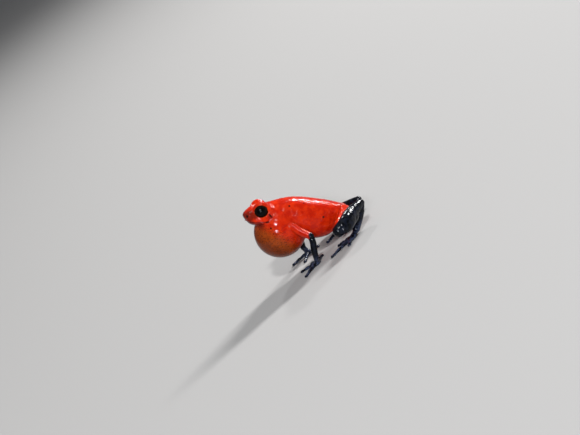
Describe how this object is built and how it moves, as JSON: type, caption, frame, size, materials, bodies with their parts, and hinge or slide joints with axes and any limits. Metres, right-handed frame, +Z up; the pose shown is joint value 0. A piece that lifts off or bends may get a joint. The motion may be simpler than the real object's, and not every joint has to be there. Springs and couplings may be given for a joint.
{
  "type": "poison dart frog",
  "caption": "Life-size still model of a small red frog with blue-black limbs, calling with a full vocal sac, raised on straight arms and folded hind legs.",
  "frame": {"origin": "centre of the footprint box, on the floor that the hands and feet rest on", "axes": "+Z up, +X from the snout towards the tail end, +Y towards the frog's right side"},
  "size_m": [0.0228, 0.0184, 0.0169],
  "materials": {
    "red_skin": "wet, finely granular skin",
    "sac_skin": "thin stretched skin, satin",
    "dark_skin": "wet, blue-black skin",
    "eye": "wet, glossy"
  },
  "bodies": {
    "root": {"head": "red_skin", "torso": "red_skin", "vocal_sac": "sac_skin", "eye_left": "eye", "eye_right": "eye", "upper_arm_left": "red_skin", "upper_arm_right": "red_skin", "forearm_left": "dark_skin", "forearm_right": "dark_skin", "hand_left": "dark_skin", "hand_right": "dark_skin", "thigh_left": "dark_skin", "thigh_right": "dark_skin", "shank_left": "dark_skin", "shank_right": "dark_skin", "tarsus_left": "dark_skin", "tarsus_right": "dark_skin", "foot_left": "dark_skin", "foot_right": "dark_skin"}
  },
  "joints": []
}
